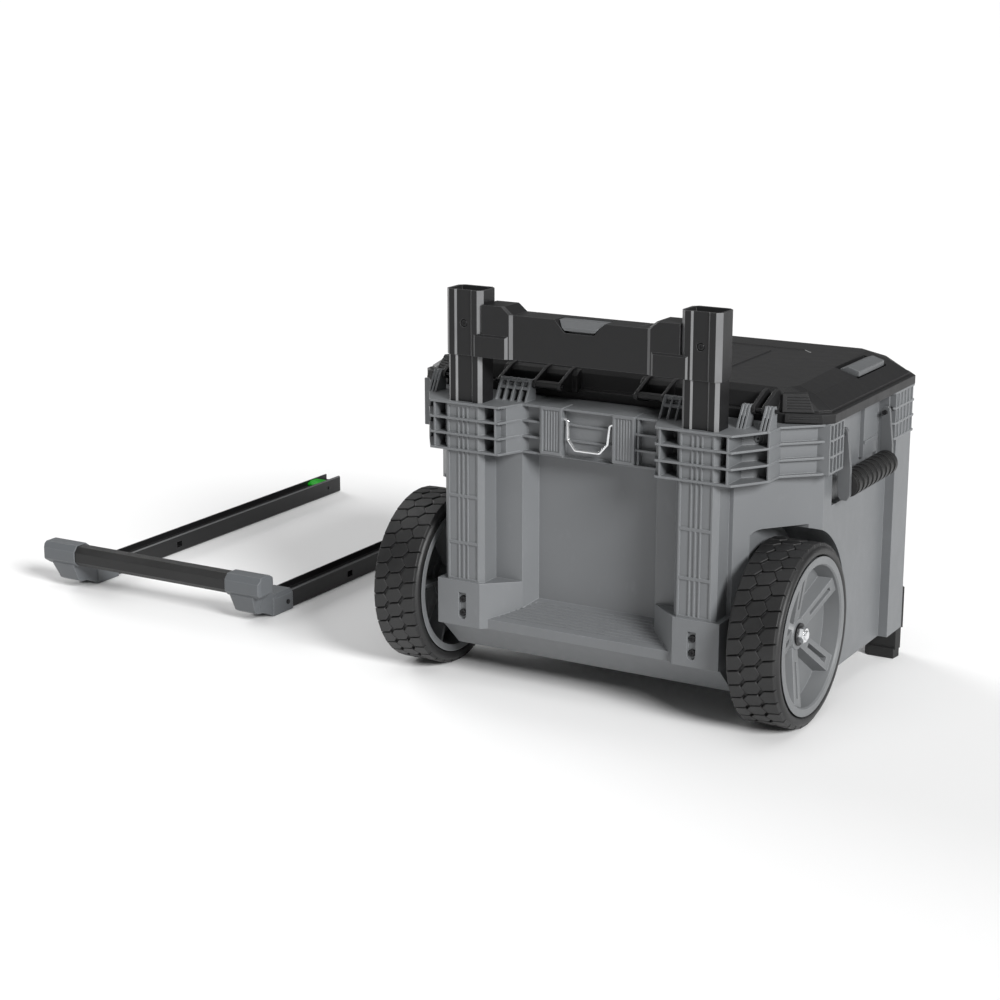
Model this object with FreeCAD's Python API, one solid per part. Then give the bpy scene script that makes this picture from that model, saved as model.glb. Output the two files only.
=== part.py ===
import FreeCAD, Part
import math
import os

# Rolling carpenter's toolbox: a moulded chest on two wheels, with a hinged lid, two square
# tubes up its back, and the U-shaped pull handle drawn out and laid on the floor beside it.
# Millimetres. +Z is up, +Y is the back of the chest, +X is the side where the handle lies.
# The origin is on the floor under the middle of the chest.

# ---- driving dimensions ----
WALL = 4.0                  # moulded wall
FLOOR_GAP = 41.5            # underside of the chest above the floor
RIM_TOP = 374.2             # top face of the rim deck
FRONT_Y = -210.0            # front panel
BACK_Y = 210.0              # rear edge of the rim flange and the tube sockets
SIDE_X = 272.0              # side walls
POST_X = 285.0              # front corner posts

FIN_COUNT = 4
FIN_PITCH = 20.0
FIN_THICK = 2.6

TUBE_X = 161.7              # middle of each square tube
TUBE_HALF = 24.1
TUBE_BACK, TUBE_FRONT = 168.0, 203.0
TUBE_CHAMFER = 4.3
TUBE_FOOT_Z, TUBE_TOP_Z = 92.0, 505.0
BORE_HALF = 21.5
BORE_BACK, BORE_FRONT = 170.4, 199.4
GROOVE_HALF, GROOVE_DEEP = 10.0, 2.2

HOUSING_Z, HOUSING_TOP = 433.6, 516.0
HOUSING_HALF, HOUSING_BACK, HOUSING_FRONT = 26.3, 165.8, 205.2
HOUSING_CHAMFER = 6.3

WHEEL_R = 115.4
WHEEL_IN, WHEEL_OUT = 215.8, 283.8
RIM_R = 98.9
AXLE_Y, AXLE_Z, AXLE_R = 121.5, 115.4, 6.0
ARCH_R = 130.0
ARCH_IN = 210.0
ARCH_TOP = 247.0

HINGE_Y, HINGE_Z = 150.0, 395.0
HINGE_PIN_R = 2.5
LID_SKIRT_Z, LID_EDGE_Z, LID_SHOULDER_Z, LID_TOP_Z = 374.8, 388.0, 406.0, 414.0

CARRY_Z, CARRY_X = 352.0, 281.0        # pivot line of the side handles
CARRY_Y0, CARRY_Y1 = -106.0, 44.0      # outer faces of the side handle's arms
LATCH_Z, LATCH_Y = 304.0, -218.0       # pivot line of the front latches
LATCH_X = 128.0

HANDLE_X = 728.0            # middle of the laid-down pull handle
RAIL_X = HANDLE_X + TUBE_X
RAIL_HALF = 16.0
RAIL_Z0, RAIL_Z1 = 0.0, 27.2
RAIL_NEAR, RAIL_FAR = 68.0, -553.0
GRIP_Y, GRIP_Z = 133.5, 55.0
GRIP_HALF_LENGTH = 138.0
RUN = 0.06                  # radial running clearance of a shaft in its hole

SOCKET_Z, SOCKET_TOP = 81.4, 141.5     # foot block of each column
APRON_Y = 203.0                        # flat apron under the rear recess
RECESS_Z, RECESS_BACK_Z = 94.0, 115.0  # sloping shelf of the rear recess
BAND_Z = RIM_TOP - (FIN_COUNT - 1) * FIN_PITCH - FIN_THICK
COLUMN_HALF, COLUMN_Y = 28.5, 207.0
RIB = 2.6
SCREW_Z = (99.0, 117.0)                # the two screws in each socket
HOUSING_SCREW_Z = 474.0

BRIDGE_Z, BRIDGE_BACK = 434.0, 166.0
WING_Z, PANEL_Z = 499.3, 489.5
PANEL_Y, WING_Y, PAD_Y = 202.0, 204.3, 206.7
NOTCH_TOP, NOTCH_BOTTOM, NOTCH_Z = 34.3, 20.0, 474.0
BUTTON_GAP = 0.4

BAIL_R, BAIL_Y, BAIL_Z = 2.0, 174.0, 360.5
BAIL_BACKING = 169.5                   # the fins stop here behind the bail
CARRY_PIN_R = 3.0
GRIP_RINGS = 9
STACK_X, STACK_Y, STACK_Z, STACK_TILT = 236.5, -103.0, 412.0, 58.0
STACK_PIN_X, STACK_PIN_Z = 235.8, 406.3
STACK_HALF = 44.0

BUSH_R = 9.0
SPOKES = 5
SPOKE_TURN = -15.0
HUB_OUT, HUB_IN = WHEEL_OUT + 0.6, WHEEL_IN + 1.0

DETENT_Y = RAIL_FAR + 42.0
DETENT_BASE = RAIL_Z1 - 8.0
DETENT_TRAVEL = 5.0                    # depth of the well under each detent button
BRACKET_SCREW_Y, BRACKET_SCREW_Z = 58.0, 13.0
RIVET_Y, RIVET_Z = RAIL_FAR + 34.0, 13.0
GRIP_TUBE_R = 9.0

V = FreeCAD.Vector


# ---- small shape makers ----
def box(x0, x1, y0, y1, z0, z1):
    return Part.makeBox(x1 - x0, y1 - y0, z1 - z0, V(x0, y0, z0))


def prism(points, z0, z1):
    """Upright prism over a closed plan outline of (x, y) points."""
    wire = Part.makePolygon([V(x, y, z0) for x, y in points + points[:1]])
    return Part.Face(wire).extrude(V(0, 0, z1 - z0))


def prism_x(points, x0, x1):
    """Prism along X over a closed outline of (y, z) points."""
    wire = Part.makePolygon([V(x0, y, z) for y, z in points + points[:1]])
    return Part.Face(wire).extrude(V(x1 - x0, 0, 0))


def prism_y(points, y0, y1):
    """Prism along Y over a closed outline of (x, z) points."""
    wire = Part.makePolygon([V(x, y0, z) for x, z in points + points[:1]])
    return Part.Face(wire).extrude(V(0, y1 - y0, 0))


def rod_x(radius, x0, x1, y, z):
    return Part.makeCylinder(radius, x1 - x0, V(x0, y, z), V(1, 0, 0))


def rod_y(radius, y0, y1, x, z):
    return Part.makeCylinder(radius, y1 - y0, V(x, y0, z), V(0, 1, 0))


def rod_z(radius, z0, z1, x, y):
    return Part.makeCylinder(radius, z1 - z0, V(x, y, z0))


def across(half):
    """Full outline from its +X half, both halves listed from the back to the front."""
    return half + [(-x, y) for x, y in reversed(half)]


def mirrored(shape):
    return shape.mirror(V(0, 0, 0), V(1, 0, 0))


def both_sides(shape):
    return [shape, mirrored(shape)]


def join(shapes):
    return shapes[0].fuse(shapes[1:]).removeSplitter()


def stack(outlines):
    """Solid through flat outlines of (points, z), with straight faces between them."""
    wires = [Part.makePolygon([V(x, y, z) for x, y in pts + pts[:1]]) for pts, z in outlines]
    return Part.makeLoft(wires, True, True)


def hexagon(radius, x0, x1, y, z):
    corners = [(y + radius * math.cos(math.radians(60 * i)), z + radius * math.sin(math.radians(60 * i)))
               for i in range(6)]
    return prism_x(corners, x0, x1)


def save(name, shapes):
    parts = shapes if isinstance(shapes, list) else [shapes]
    solids = [solid for part in parts for solid in part.Solids]
    shape = solids[0] if len(solids) == 1 else Part.makeCompound(solids)
    if not shape.isValid():
        print("not valid:", name)
    shape.exportStep("parts/" + name + ".step")
    print(name, len(solids), round(sum(solid.Volume for solid in solids)))


# ---- chest tub ----
# Plan outlines, +X half, from the middle of the back to the middle of the front.
BODY = [(83, 150), (94, 173), (196, 173), (266, 84), (SIDE_X, 76), (SIDE_X, -136), (POST_X, -136),
        (POST_X, -190), (266, FRONT_Y)]
CAVITY = [(85.5, 146), (94, 163.5), (193, 163.5), (262, 76), (267.5, 70), (267.5, -140), (281, -140),
          (281, -188), (264, FRONT_Y + WALL)]
LOW_CAVITY = [(203, 98), (267.5, 98), (267.5, -140), (281, -140), (281, -188), (264, FRONT_Y + WALL)]
MOUTH = [(222, 104), (256, 91), (267, 78), (267, -140), (267, -184), (254, -203)]
LIP = [(226, 108), (259, 95), (271, 81), (271, -140), (271, -187), (257, -207)]
FIN = [(93.5, 176), (108, BACK_Y), (208, BACK_Y), (237.5, 165), (238.5, 138), (275.6, 102), (286, 90),
       (286, 52), (278, 46), (278, -118), (287, -124), (287, -192), (268, -213)]
BAND = [(89, 167), (104, 197), (112, 197), (112, 173), (200, 173), (233, 139), (236, 132), (270, 98),
        (278, 88), (278, 52), (SIDE_X, 46), (SIDE_X, -118), (278, -124), (POST_X, -140), (POST_X, -190),
        (266, FRONT_Y)]
SOCKET = [(83, 150), (94, 173), (135.8, BACK_Y), (198, BACK_Y), (198, 150)]


def fins():
    """Thin level fins round the rim; the top one is the deck."""
    outline = across(FIN)
    plates = []
    for level in range(FIN_COUNT):
        top = RIM_TOP - level * FIN_PITCH
        plates.append(prism(outline, top - FIN_THICK, top))
    return plates


def fin_webs():
    """Upright webs that tie the fins together."""
    webs = []
    for x, y0, y1 in ((68.0, 150, 175), (113.5, 160, 209), (202.0, 160, 209), (235.5, 120, 166)):
        webs.append(box(x - RIB / 2, x + RIB / 2, y0, y1, BAND_Z, RIM_TOP))
    for y in (97.0, 86.0, 75.0, 64.0, 54.0):
        webs.append(box(268, 286, y - RIB / 2, y + RIB / 2, BAND_Z, RIM_TOP))
    for y in (-126.0, -138.0, -150.0, -162.0, -174.0, -186.0):
        webs.append(box(268, 287, y - RIB / 2, y + RIB / 2, BAND_Z, RIM_TOP))
    for x in (252.0, 222.0, 192.0, 64.0, 34.0):
        webs.append(box(x - RIB / 2, x + RIB / 2, -213, -200, BAND_Z, RIM_TOP))
    return [web for shape in webs for web in both_sides(shape)]


def column():
    """Hollow rear column round a tube, with a ribbed face; the ribs are left by cutting panels."""
    left, right = TUBE_X - COLUMN_HALF, TUBE_X + COLUMN_HALF
    cut = 6.0
    outline = [(left, 160), (left, COLUMN_Y - cut), (left + cut, COLUMN_Y), (right - cut, COLUMN_Y),
               (right, COLUMN_Y - cut), (right, 160)]
    body = prism(outline, SOCKET_TOP - 1, RIM_TOP)
    panels = []
    levels = (SOCKET_TOP + 3, 189.5, 193.5, 251.0, 255.0, BAND_Z + 57)
    for low, high in zip(levels[0::2], levels[1::2]):
        for x0, x1 in ((-20.0, -7.5), (-5.5, -1.2), (1.2, 5.5), (7.5, 20.0)):
            panels.append(box(TUBE_X + x0, TUBE_X + x1, COLUMN_Y - 1.4, COLUMN_Y + 1, low, high))
    return body.cut(panels)


def tube_outline(half, back, front, cut, groove_half, groove_deep):
    """Plan outline of a tube with cut corners and a shallow groove down its rear face."""
    return [(TUBE_X - half, back + cut), (TUBE_X - half + cut, back), (TUBE_X + half - cut, back),
            (TUBE_X + half, back + cut), (TUBE_X + half, front - cut), (TUBE_X + half - cut, front),
            (TUBE_X + groove_half + groove_deep, front), (TUBE_X + groove_half, front - groove_deep),
            (TUBE_X - groove_half, front - groove_deep), (TUBE_X - groove_half - groove_deep, front),
            (TUBE_X - half + cut, front), (TUBE_X - half, front - cut)]


def socket_block():
    """Foot of a column: a block with a round-ended slot that holds two screws."""
    block = prism(SOCKET, SOCKET_Z, SOCKET_TOP)
    slot = box(TUBE_X - 5.5, TUBE_X + 5.5, BACK_Y - 4, BACK_Y + 1, 96, 126)
    slot = slot.fuse(rod_y(5.5, BACK_Y - 4, BACK_Y + 1, TUBE_X, 96))
    holes = [rod_y(2.5, TUBE_FRONT - 4, BACK_Y, TUBE_X, z) for z in SCREW_Z]
    return block.cut([slot] + holes)


def lower_body():
    """Bottom of the chest: floor, apron and the sloping back panel under the sockets."""
    profile = [(-206, FLOOR_GAP), (162, FLOOR_GAP), (APRON_Y, SOCKET_Z), (APRON_Y, RECESS_Z),
               (150, RECESS_BACK_Z), (150, 150), (-206, 150)]
    return prism_x(profile, -196, 196)


def recess_grooves():
    """Eight shallow grooves across the sloping shelf of the rear recess."""
    slope = math.atan2(RECESS_BACK_Z - RECESS_Z, APRON_Y - 150)
    grooves = []
    for i in range(8):
        along = 9.0 + 5.6 * i
        y = APRON_Y - along * math.cos(slope)
        z = RECESS_Z + along * math.sin(slope)
        half = 124 - 0.87 * along
        groove = Part.makeBox(2 * half, 2.6, 1.6, V(-half, -1.3, -0.8))
        groove.rotate(V(0, 0, 0), V(1, 0, 0), -math.degrees(slope))
        groove.translate(V(0, y, z))
        grooves.append(groove)
    return grooves


def bail_block():
    """Framed block beside the wire bail, with a ribbed inset face and a pivot hole."""
    block = box(35.5, 65.0, 150, 180, 314.5, RIM_TOP + 0.8)
    block = block.cut(box(38.5, 62.0, 178.4, 181, 318, 371))
    stripes = [box(x - 0.7, x + 0.7, 176, 179.2, 319, 370) for x in (42.5, 46.4, 50.25, 54.1, 58.0)]
    block = block.fuse(stripes)
    return block.cut(rod_x(BAIL_R + RUN, 34, 44, BAIL_Y, BAIL_Z))


def hinge_tower(x0, x1, ribs):
    """Slatted hinge tower: sloping ribs under a barrel block that the hinge pin passes through."""
    profile = [(144, RIM_TOP - 1), (170, RIM_TOP - 1), (156.5, 396), (153.5, 400.5), (146.5, 400.5),
               (144, 396)]
    tower = []
    step = (x1 - x0 - RIB) / (ribs - 1)
    for i in range(ribs):
        x = x0 + i * step
        tower.append(prism_x(profile, x, x + RIB))
    head = prism_x([(144.5, 388), (160.5, 388), (156, 396), (153, 400), (147, 400), (144.5, 396)], x0, x1)
    head = head.cut(box(x0 + 4, x1 - 4, 152.5, 162, 391.2, 397.2))
    tower.append(head)
    return join(tower).cut(rod_x(HINGE_PIN_R, x0 - 1, x1 + 1, HINGE_Y, HINGE_Z))


def carry_recess():
    return box(264, 280, -124, 50, 262, RIM_TOP - FIN_THICK)


def carry_boss(y0, y1):
    """Pad on the side wall that carries one arm of the side handle."""
    pad = box(258, 270, y0, y1, 300, RIM_TOP - FIN_THICK)
    return pad.fuse(box(258, 272, y0, y1, 318, 322))


def chest_tub():
    body = prism(across(BODY), 118, RIM_TOP - 1)
    front = prism(across([(POST_X - 90, 20), (SIDE_X, 20), (SIDE_X, -136), (POST_X, -136), (POST_X, -190),
                          (266, FRONT_Y)]), FLOOR_GAP, 120)
    sides = both_sides(prism([(95, 60), (95, 173), (196, 173), (266, 84), (SIDE_X, 76), (SIDE_X, 0), (95, 0)],
                             SOCKET_Z + 1, 120))
    band = prism(across(BAND), BAND_Z, RIM_TOP - 1)
    solids = [body, front, band, lower_body()] + sides + fins() + fin_webs()
    for shape in (column(), socket_block(), bail_block()):
        solids += both_sides(shape)
    tub = join(solids)
    tub = tub.fuse(prism(across(LIP), RIM_TOP - 3, RIM_TOP + 7.8))

    wells = both_sides(wheel_well(0))
    keep_wells = both_sides(wheel_well(WALL))
    keep_recess = both_sides(box(259.5, 300, -130, 56, 257, RIM_TOP))
    low_room = prism(across(LOW_CAVITY), FLOOR_GAP + WALL, 135)
    main = prism(across(CAVITY), 134, RIM_TOP - 6).fuse(low_room).cut(keep_wells + keep_recess)
    hollow = main.fuse(prism(across(MOUTH), RIM_TOP - 30, RIM_TOP + 10).cut(keep_recess))
    tub = tub.cut([hollow] + wells)

    underside = box(-196, 196, 102, 158, FLOOR_GAP - 1, 90).fuse(box(-192, 192, 102, 144, 89, 129))
    ribs = [box(x - 2.5, x + 2.5, 100, 160, FLOOR_GAP, 131) for x in (-150, -100, -50, 0, 50, 100, 150)]
    tub = tub.cut(underside.cut(ribs))
    tub = tub.cut(box(-35.5, 35.5, BAIL_BACKING, 190, 312, RIM_TOP - FIN_THICK))
    tub = tub.cut(recess_grooves() + both_sides(carry_recess()))

    bosses = [carry_boss(-104, -58), carry_boss(-4, 42)]
    towers = [hinge_tower(92, 137, 5), hinge_tower(194.5, 206, 3), hinge_tower(224.5, 236, 3)]
    axle_boss = rod_x(16, 150, 214, AXLE_Y, AXLE_Z)
    added = [side for shape in bosses + towers + [axle_boss] for side in both_sides(shape)]
    tub = join([tub] + added + [latch_ears()])
    bore = prism(tube_outline(TUBE_HALF, TUBE_BACK, TUBE_FRONT, TUBE_CHAMFER, GROOVE_HALF, GROOVE_DEEP),
                 TUBE_FOOT_Z, RIM_TOP + 5)
    pins = [side for y0, y1 in ((-150, -96), (28, 90))
            for side in both_sides(rod_y(CARRY_PIN_R, y0, y1, CARRY_X, CARRY_Z))]
    axle_hole = rod_x(AXLE_R, -215, 215, AXLE_Y, AXLE_Z)
    return tub.cut(both_sides(bore) + pins + [axle_hole] + both_sides(rim_screw_recess()))


def rim_screw_recess():
    """Ring-shaped recess and pilot hole in the slanted wall between the top two fins."""
    outward = V(33, 33, 0).normalize()
    place = V(217.5, 155.2, RIM_TOP - 13)
    ring = Part.makeCylinder(6.2, 8, place - outward * 1.6, outward)
    ring = ring.cut(Part.makeCylinder(4.4, 9, place - outward * 2, outward))
    return ring.fuse(Part.makeCylinder(1.8, 8, place - outward * 3, outward))


def wheel_well(grow):
    """Round well for a wheel, squared off behind under a flat top with a rounded corner."""
    well = rod_x(ARCH_R + grow, ARCH_IN - grow, 300, AXLE_Y, AXLE_Z)
    flat = box(ARCH_IN - grow, 300, AXLE_Y - 30, 240, AXLE_Z, ARCH_TOP + grow)
    long_edges = [edge for edge in flat.Edges if edge.BoundBox.YLength > 100]
    corner = [edge for edge in long_edges
              if edge.BoundBox.XMax < ARCH_IN + 1 and edge.BoundBox.ZMin > AXLE_Z + 1]
    return well.fuse(flat.makeFillet(11.0, corner))


def latch_ears():
    """Pairs of ears on the front panel that hold the front latches' pins."""
    ears = []
    for centre in (-LATCH_X, LATCH_X):
        for side in (-1, 1):
            x = centre + side * 33.5
            ears.append(prism_x([(FRONT_Y + 1, LATCH_Z - 12), (LATCH_Y - 5, LATCH_Z - 5),
                                 (LATCH_Y - 5, LATCH_Z + 5), (FRONT_Y + 1, LATCH_Z + 14)], x - 2.5, x + 2.5))
    holes = [rod_x(2.0, c - 38, c + 38, LATCH_Y, LATCH_Z) for c in (-LATCH_X, LATCH_X)]
    return Part.makeCompound([ear.cut(holes) for ear in ears])


# ---- lid ----
SKIRT = [(238, 118), (276, 102), (288, 88), (288, -190), (270, -215)]
EDGE = [(238, 117), (274, 101), (285.5, 87), (285.5, -189), (268, -213)]
LEDGE = [(236, 113), (270, 97.5), (281.5, 85), (281.5, -187), (265.5, -209)]
SHOULDER = [(226, 106), (250, 93), (257, 80), (257, -174), (244, -197)]
PLATEAU = [(216, 100), (231, 90), (236, 78), (225, -178), (213, -190)]
INNER_SKIRT = [(232, 112), (270, 97), (280.5, 84), (280.5, -188), (264, -209)]
INNER_LOW = [(222, 98), (246, 88), (256, 76), (256, -172), (242, -193)]
INNER_TOP = [(210, 92), (226, 82), (230, 72), (220, -172), (208, -183)]


def lid_corner():
    """Stepped, grooved block on a rear corner of the lid."""
    low = stack([([(236, 121), (279, 103.5), (272, 92), (232, 108)], LID_SKIRT_Z + 1.5),
                 ([(236, 120.4), (277, 103.2), (270, 92), (232, 108)], 386.5)])
    high = stack([([(231, 117), (266, 102), (258, 84), (226, 98)], 387.6),
                  ([(228, 109.5), (255, 97.5), (247, 80), (222, 92)], 408.5)])
    grooves = []
    for x0, y0, x1, y1, levels in ((236, 121, 279, 103.5, (379.5, 382.0, 384.5)),
                                   (231, 117, 266, 102, (391.0, 394.2, 397.4, 400.6, 403.8))):
        run, rise = x1 - x0, y1 - y0
        length = math.hypot(run, rise)
        for z in levels:
            inward = 0.0 if z < 387 else (z - 387.6) * 0.40
            groove = Part.makeBox(length - 10, 3.0, 1.0, V(5, -0.9 - inward, 0))
            groove.rotate(V(0, 0, 0), V(0, 0, 1), math.degrees(math.atan2(rise, run)))
            groove.translate(V(x0, y0, z))
            grooves.append(groove)
    return (low, high), grooves


def lid_ribs():
    """Hinge ears and stiffening ribs down the rear slope of the lid."""
    ear = [(100, 405), (112, 414), (121, 412.5), (150, 400.5), (154.5, 397), (154.5, 392), (150, 389.5),
           (121, 383), (112, 386)]
    return [prism_x(ear, x - 2.2, x + 2.2) for x in (53.5, 89.5, 139.5, 208.6, 222.0)]


def latch_pocket(grow):
    """Box of space round a stacking latch; grow gives the pocket's walls."""
    return box(229.5 - grow, 262 + grow, STACK_Y - 50 - grow, STACK_Y + 53 + grow, 388 - grow, 420)


def lid_shell():
    skirt = stack([(across(SKIRT), LID_SKIRT_Z), (across(SKIRT), LID_EDGE_Z - 2.4),
                   (across(EDGE), LID_EDGE_Z - 1.2)])
    crown = stack([(across(LEDGE), LID_EDGE_Z - 2.4), (across(LEDGE), LID_EDGE_Z + 1.6),
                   (across(SHOULDER), LID_SHOULDER_Z), (across(PLATEAU), LID_TOP_Z)])
    body = skirt.fuse(crown)
    backing = both_sides(latch_pocket(3.5).common(body).cut(latch_pocket(0)))
    tiers, grooves = lid_corner()
    body = join([body] + [side for tier in tiers for side in both_sides(tier)])
    body = body.cut([side for groove in grooves for side in both_sides(groove)])
    body = body.cut(prism(across(INNER_SKIRT), LID_SKIRT_Z - 1, 386))
    body = body.cut(stack([(across(INNER_LOW), 385), (across(INNER_TOP), 410.5)]))
    body = body.cut(both_sides(latch_pocket(0)))
    ribs = lid_ribs()
    shelf = prism_x([(119, 388), (147.5, 390.5), (153, 393.5), (153, 398.5), (147, 400), (143, 396),
                     (119, 392)], 53.5, 89.5)
    wall = prism_x([(112, 386), (121, 383), (123.5, 384), (123.5, 405), (119, 410), (112, 412)], 44, 150)
    added = [side for shape in ribs + [shelf, wall] for side in both_sides(shape)]
    lid = join([body] + added + backing)
    lid = lid.cut(both_sides(prism_x([(124, 386), (142, 391), (142, 402), (124, 409)], 92, 137.2)))
    panel = stack([(across([(150, 70), (165, 55), (165, -130), (150, -145)]), LID_TOP_Z - 1.2),
                   (across([(151.2, 71.2), (166.2, 56), (166.2, -131), (151.2, -146.2)]), LID_TOP_Z + 0.1)])
    lid = lid.cut(panel)
    stack_ribs = [box(x - 4, x + 4, -120, 48, LID_TOP_Z - 1.5, LID_TOP_Z) for x in (-110, -55, 0, 55, 110)]
    lid = join([lid] + stack_ribs)
    bore = rod_x(HINGE_PIN_R + RUN, 40, 245, HINGE_Y, HINGE_Z)
    lip = box(-180, 180, -222, -212, LID_SKIRT_Z, 386)
    lid = join([lid, lip])
    return lid.cut(both_sides(bore) + both_sides(stack_pin(RUN)))


def lid_seal():
    outer = [(229, 109), (263, 95.5), (273.5, 82), (273.5, -186), (259, -206)]
    inner = [(224, 105), (258, 91.5), (268.5, 78.5), (268.5, -184.5), (255.5, -202)]
    return prism(across(outer), RIM_TOP + 8.1, 386).cut(prism(across(inner), RIM_TOP + 5, 390))


def stack_pin(grow):
    """Pin along the upper edge of a stacking latch, held in the lid at both ends."""
    return rod_y(1.5 + grow, STACK_Y - 56, STACK_Y + 59, STACK_PIN_X, STACK_PIN_Z)


def stack_latch():
    """Thick finger paddle that hangs in its pocket and lifts on the pin to hold a box stacked above."""
    paddle = Part.makeBox(20.8, 2 * STACK_HALF, 7.0, V(1.2, -STACK_HALF, -7.0))
    rounded = [edge for edge in paddle.Edges if edge.BoundBox.ZMin > -0.1 and edge.BoundBox.XLength > 10]
    paddle = paddle.makeFillet(3.0, rounded)
    ridges = [Part.makeBox(1.4, 2 * STACK_HALF - 16, 0.9, V(x, 8 - STACK_HALF, -0.1)) for x in (13.0, 16.0)]
    paddle = join([paddle] + ridges)
    paddle.rotate(V(0, 0, 0), V(0, 1, 0), STACK_TILT)
    paddle.translate(V(STACK_X, STACK_Y, STACK_Z))
    return paddle.cut(stack_pin(RUN))


# ---- tubes, housings and bridge ----
def back_tube():
    outline = tube_outline(TUBE_HALF - 0.02, TUBE_BACK + 0.02, TUBE_FRONT - 0.02, TUBE_CHAMFER,
                           GROOVE_HALF, GROOVE_DEEP)
    tube = prism(outline, TUBE_FOOT_Z, TUBE_TOP_Z)
    bore = box(TUBE_X - BORE_HALF, TUBE_X + BORE_HALF, BORE_BACK, BORE_FRONT, TUBE_FOOT_Z - 1, TUBE_TOP_Z + 1)
    tube = tube.cut(bore)
    holes = [rod_y(2.5, 190, 210, TUBE_X, z) for z in SCREW_Z + (HOUSING_SCREW_Z,)]
    return tube.cut(holes)


def housing_outline():
    return tube_outline(HOUSING_HALF, HOUSING_BACK, HOUSING_FRONT, HOUSING_CHAMFER, GROOVE_HALF, GROOVE_DEEP)


def housing():
    """Collar over the top of a tube, open above so that the handle rail drops in."""
    outer = prism(housing_outline(), HOUSING_Z, HOUSING_TOP)
    tube = prism(tube_outline(TUBE_HALF, TUBE_BACK, TUBE_FRONT, TUBE_CHAMFER, GROOVE_HALF, GROOVE_DEEP),
                 HOUSING_Z - 1, TUBE_TOP_Z)
    bore = box(TUBE_X - BORE_HALF, TUBE_X + BORE_HALF, BORE_BACK, BORE_FRONT, TUBE_TOP_Z - 1, HOUSING_TOP + 1)
    funnel = stack([([(TUBE_X - 21.5, BORE_BACK), (TUBE_X + 21.5, BORE_BACK), (TUBE_X + 21.5, BORE_FRONT),
                      (TUBE_X - 21.5, BORE_FRONT)], HOUSING_TOP - 6),
                    ([(TUBE_X - 23, 168.9), (TUBE_X + 23, 168.9), (TUBE_X + 23, 201.2), (TUBE_X - 23, 201.2)],
                     HOUSING_TOP + 0.1)])
    recess = rod_y(5.2, HOUSING_FRONT - GROOVE_DEEP - 1.9, 206, TUBE_X, HOUSING_SCREW_Z)
    hole = rod_y(2.5, 198, 206, TUBE_X, HOUSING_SCREW_Z)
    return outer.cut([tube, bore, funnel, recess, hole])


def screw_y(x, y_head, z, head_r, head_h, shank, recess):
    """Round-headed screw along -Y with a cross recess; its head ends at y_head."""
    head = rod_y(head_r, y_head - head_h, y_head, x, z)
    head = head.makeChamfer(0.4 * head_h, [head.Edges[0]]) if head_h > 1.5 else head
    body = join([head, rod_y(2.5 - 0.02, y_head - head_h - shank, y_head - head_h + 0.1, x, z)])
    slots = [box(x - recess, x + recess, y_head - 0.9, y_head + 1, z - 0.5, z + 0.5),
             box(x - 0.5, x + 0.5, y_head - 0.9, y_head + 1, z - recess, z + recess)]
    return body.cut(slots)


def raised(base, top, y0, y1):
    """Raised pad with bevelled sides between a base outline and a smaller top one, both (x, z)."""
    wires = [Part.makePolygon([V(x, y, z) for x, z in points + points[:1]])
             for points, y in ((base, y0 - 1), (base, y0), (top, y1))]
    return Part.makeLoft(wires, True, True)


def bridge():
    inner = TUBE_X - HOUSING_HALF
    face = across([(inner, BRIDGE_Z), (inner, WING_Z), (104, WING_Z), (92, PANEL_Z)])
    core = prism_y(face, BRIDGE_BACK, PANEL_Y)
    wing_foot = [(inner, BRIDGE_Z), (inner, WING_Z), (104, WING_Z), (92, PANEL_Z), (92, BRIDGE_Z)]
    wing_top = [(inner, BRIDGE_Z), (inner, WING_Z), (108, WING_Z), (96.5, PANEL_Z), (96.5, BRIDGE_Z)]
    pad_foot = [(98, BRIDGE_Z), (98, 462.5), (148, 462.5), (148, BRIDGE_Z)]
    pad_top = [(101.5, BRIDGE_Z), (101.5, 460), (144, 460), (144, BRIDGE_Z)]
    wings = both_sides(raised(wing_foot, wing_top, PANEL_Y, WING_Y))
    pads = both_sides(raised(pad_foot, pad_top, WING_Y, PAD_Y))
    block = join([core] + wings + pads)
    block = block.cut(both_sides(prism(housing_outline(), BRIDGE_Z - 2, HOUSING_TOP)))
    notch = prism_y([(-NOTCH_TOP - 2, PANEL_Z + 2), (NOTCH_TOP + 2, PANEL_Z + 2), (NOTCH_BOTTOM, NOTCH_Z),
                     (-NOTCH_BOTTOM, NOTCH_Z)], 178, PANEL_Y + 1)
    well = box(-17, 17, 181, 197, 446, NOTCH_Z + 1)
    hollow = [box(-128, -24, 171, 197, BRIDGE_Z - 1, 483), box(24, 128, 171, 197, BRIDGE_Z - 1, 483)]
    seam = [box(x - 0.5, x + 0.5, 160, 190, BRIDGE_Z - 1, WING_Z + 1) for x in (-78, 78)]
    return block.cut([notch, well] + hollow + [s.cut(box(-200, 200, 168, 210, 400, 488)) for s in seam])


def release_button():
    """Wedge-faced thumb button that slides down into the bridge against its spring."""
    face = [(-31.8, PANEL_Z - 0.8), (31.8, PANEL_Z - 0.8), (20.6, NOTCH_Z + 2.9), (-20.6, NOTCH_Z + 2.9)]
    slope = prism_y(face, 178 + BUTTON_GAP, PANEL_Y - 0.6)
    wedge = prism_x([(190, PANEL_Z + 2), (PANEL_Y + 2, PANEL_Z + 2), (PANEL_Y + 2, NOTCH_Z + 4.5)], -40, 40)
    grip = [box(-24, 24, y, y + 1.2, PANEL_Z - 1.6, PANEL_Z + 1) for y in (181.0, 184.2, 187.4)]
    stem = box(-16.6, 16.6, 181.4, 196.6, 466, NOTCH_Z + 4)
    pocket = rod_z(4.6, 465, 471, 0, 189)
    return join([slope.cut([wedge] + grip), stem]).cut(pocket)


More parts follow.
